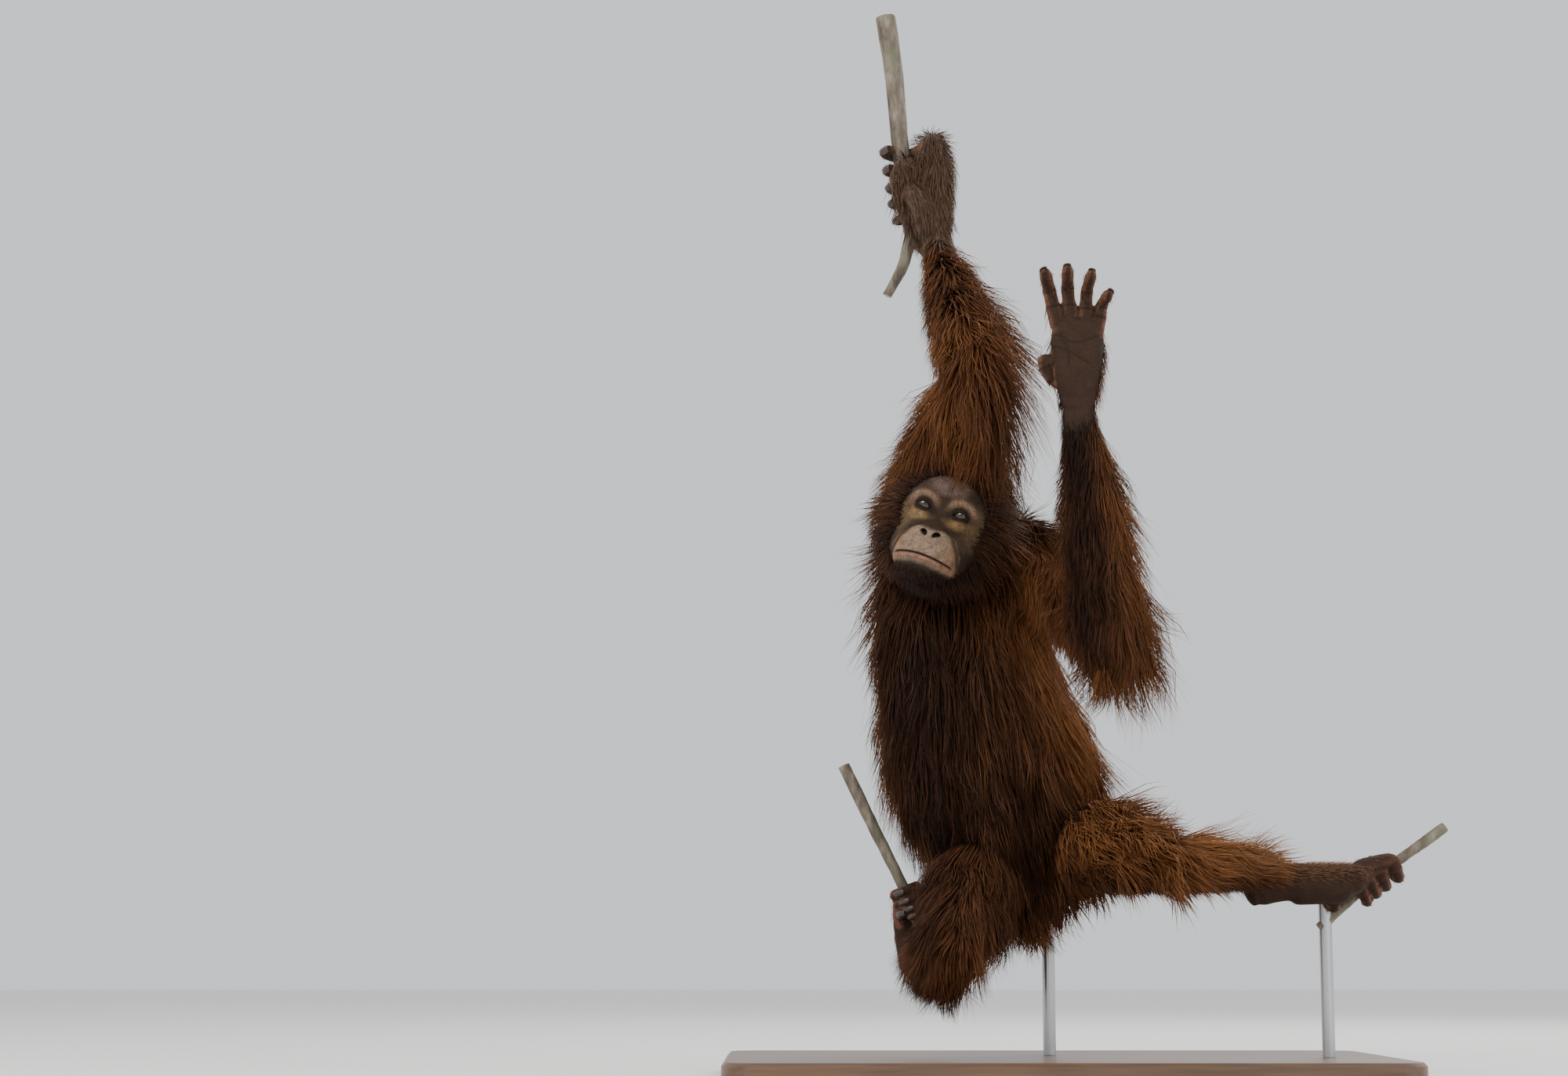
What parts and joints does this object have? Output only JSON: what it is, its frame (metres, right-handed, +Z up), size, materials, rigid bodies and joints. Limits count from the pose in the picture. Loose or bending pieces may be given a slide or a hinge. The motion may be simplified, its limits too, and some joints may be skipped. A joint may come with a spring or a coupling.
{
  "type": "orangutan model",
  "caption": "Young orangutan, life size, hanging by its right hand from a cut branch with the left palm raised, feet holding cut stems, on a flat display base with rods.",
  "frame": {"origin": "on the floor under the middle of the display base", "axes": "+Z up; the animal faces -Y, its own right side is towards -X"},
  "size_m": [0.7832, 0.492, 1.2176],
  "materials": {
    "coat": "long reddish brown hair, nearly black on the chest and belly",
    "face_skin": "bare grey brown skin, paler round the mouth and eyes, with head hair",
    "hand_skin": "bare dark purplish brown skin",
    "eye": "wet dark brown",
    "bark": "rough pale grey brown bark",
    "base_wood": "satin brown wood",
    "rod_steel": "satin steel"
  },
  "bodies": {
    "root": {"ear_left": "hand_skin", "ear_right": "hand_skin", "eye_left": "eye", "eye_right": "eye", "finger_index_left": "hand_skin", "finger_index_right": "hand_skin", "finger_little_left": "hand_skin", "finger_little_right": "hand_skin", "finger_middle_left": "hand_skin", "finger_middle_right": "hand_skin", "finger_ring_left": "hand_skin", "finger_ring_right": "hand_skin", "foot_left": "hand_skin", "foot_right": "hand_skin", "forearm_left": "coat", "forearm_right": "coat", "hand_left": "hand_skin", "hand_right": "hand_skin", "head": "face_skin", "neck": "coat", "perch_foot_left": "bark", "perch_foot_right": "bark", "perch_hand": "bark", "shank_left": "coat", "shank_right": "coat", "stand_base": "base_wood", "stand_rod_body": "rod_steel", "stand_rod_perch": "rod_steel", "thigh_left": "coat", "thigh_right": "coat", "thumb_left": "hand_skin", "thumb_right": "hand_skin", "toe_first_left": "hand_skin", "toe_first_right": "hand_skin", "toe_fourth_left": "hand_skin", "toe_fourth_right": "hand_skin", "toe_great_left": "hand_skin", "toe_great_right": "hand_skin", "toe_second_left": "hand_skin", "toe_second_right": "hand_skin", "toe_third_left": "hand_skin", "toe_third_right": "hand_skin", "torso": "coat", "upper_arm_left": "coat", "upper_arm_right": "coat"}
  },
  "joints": []
}
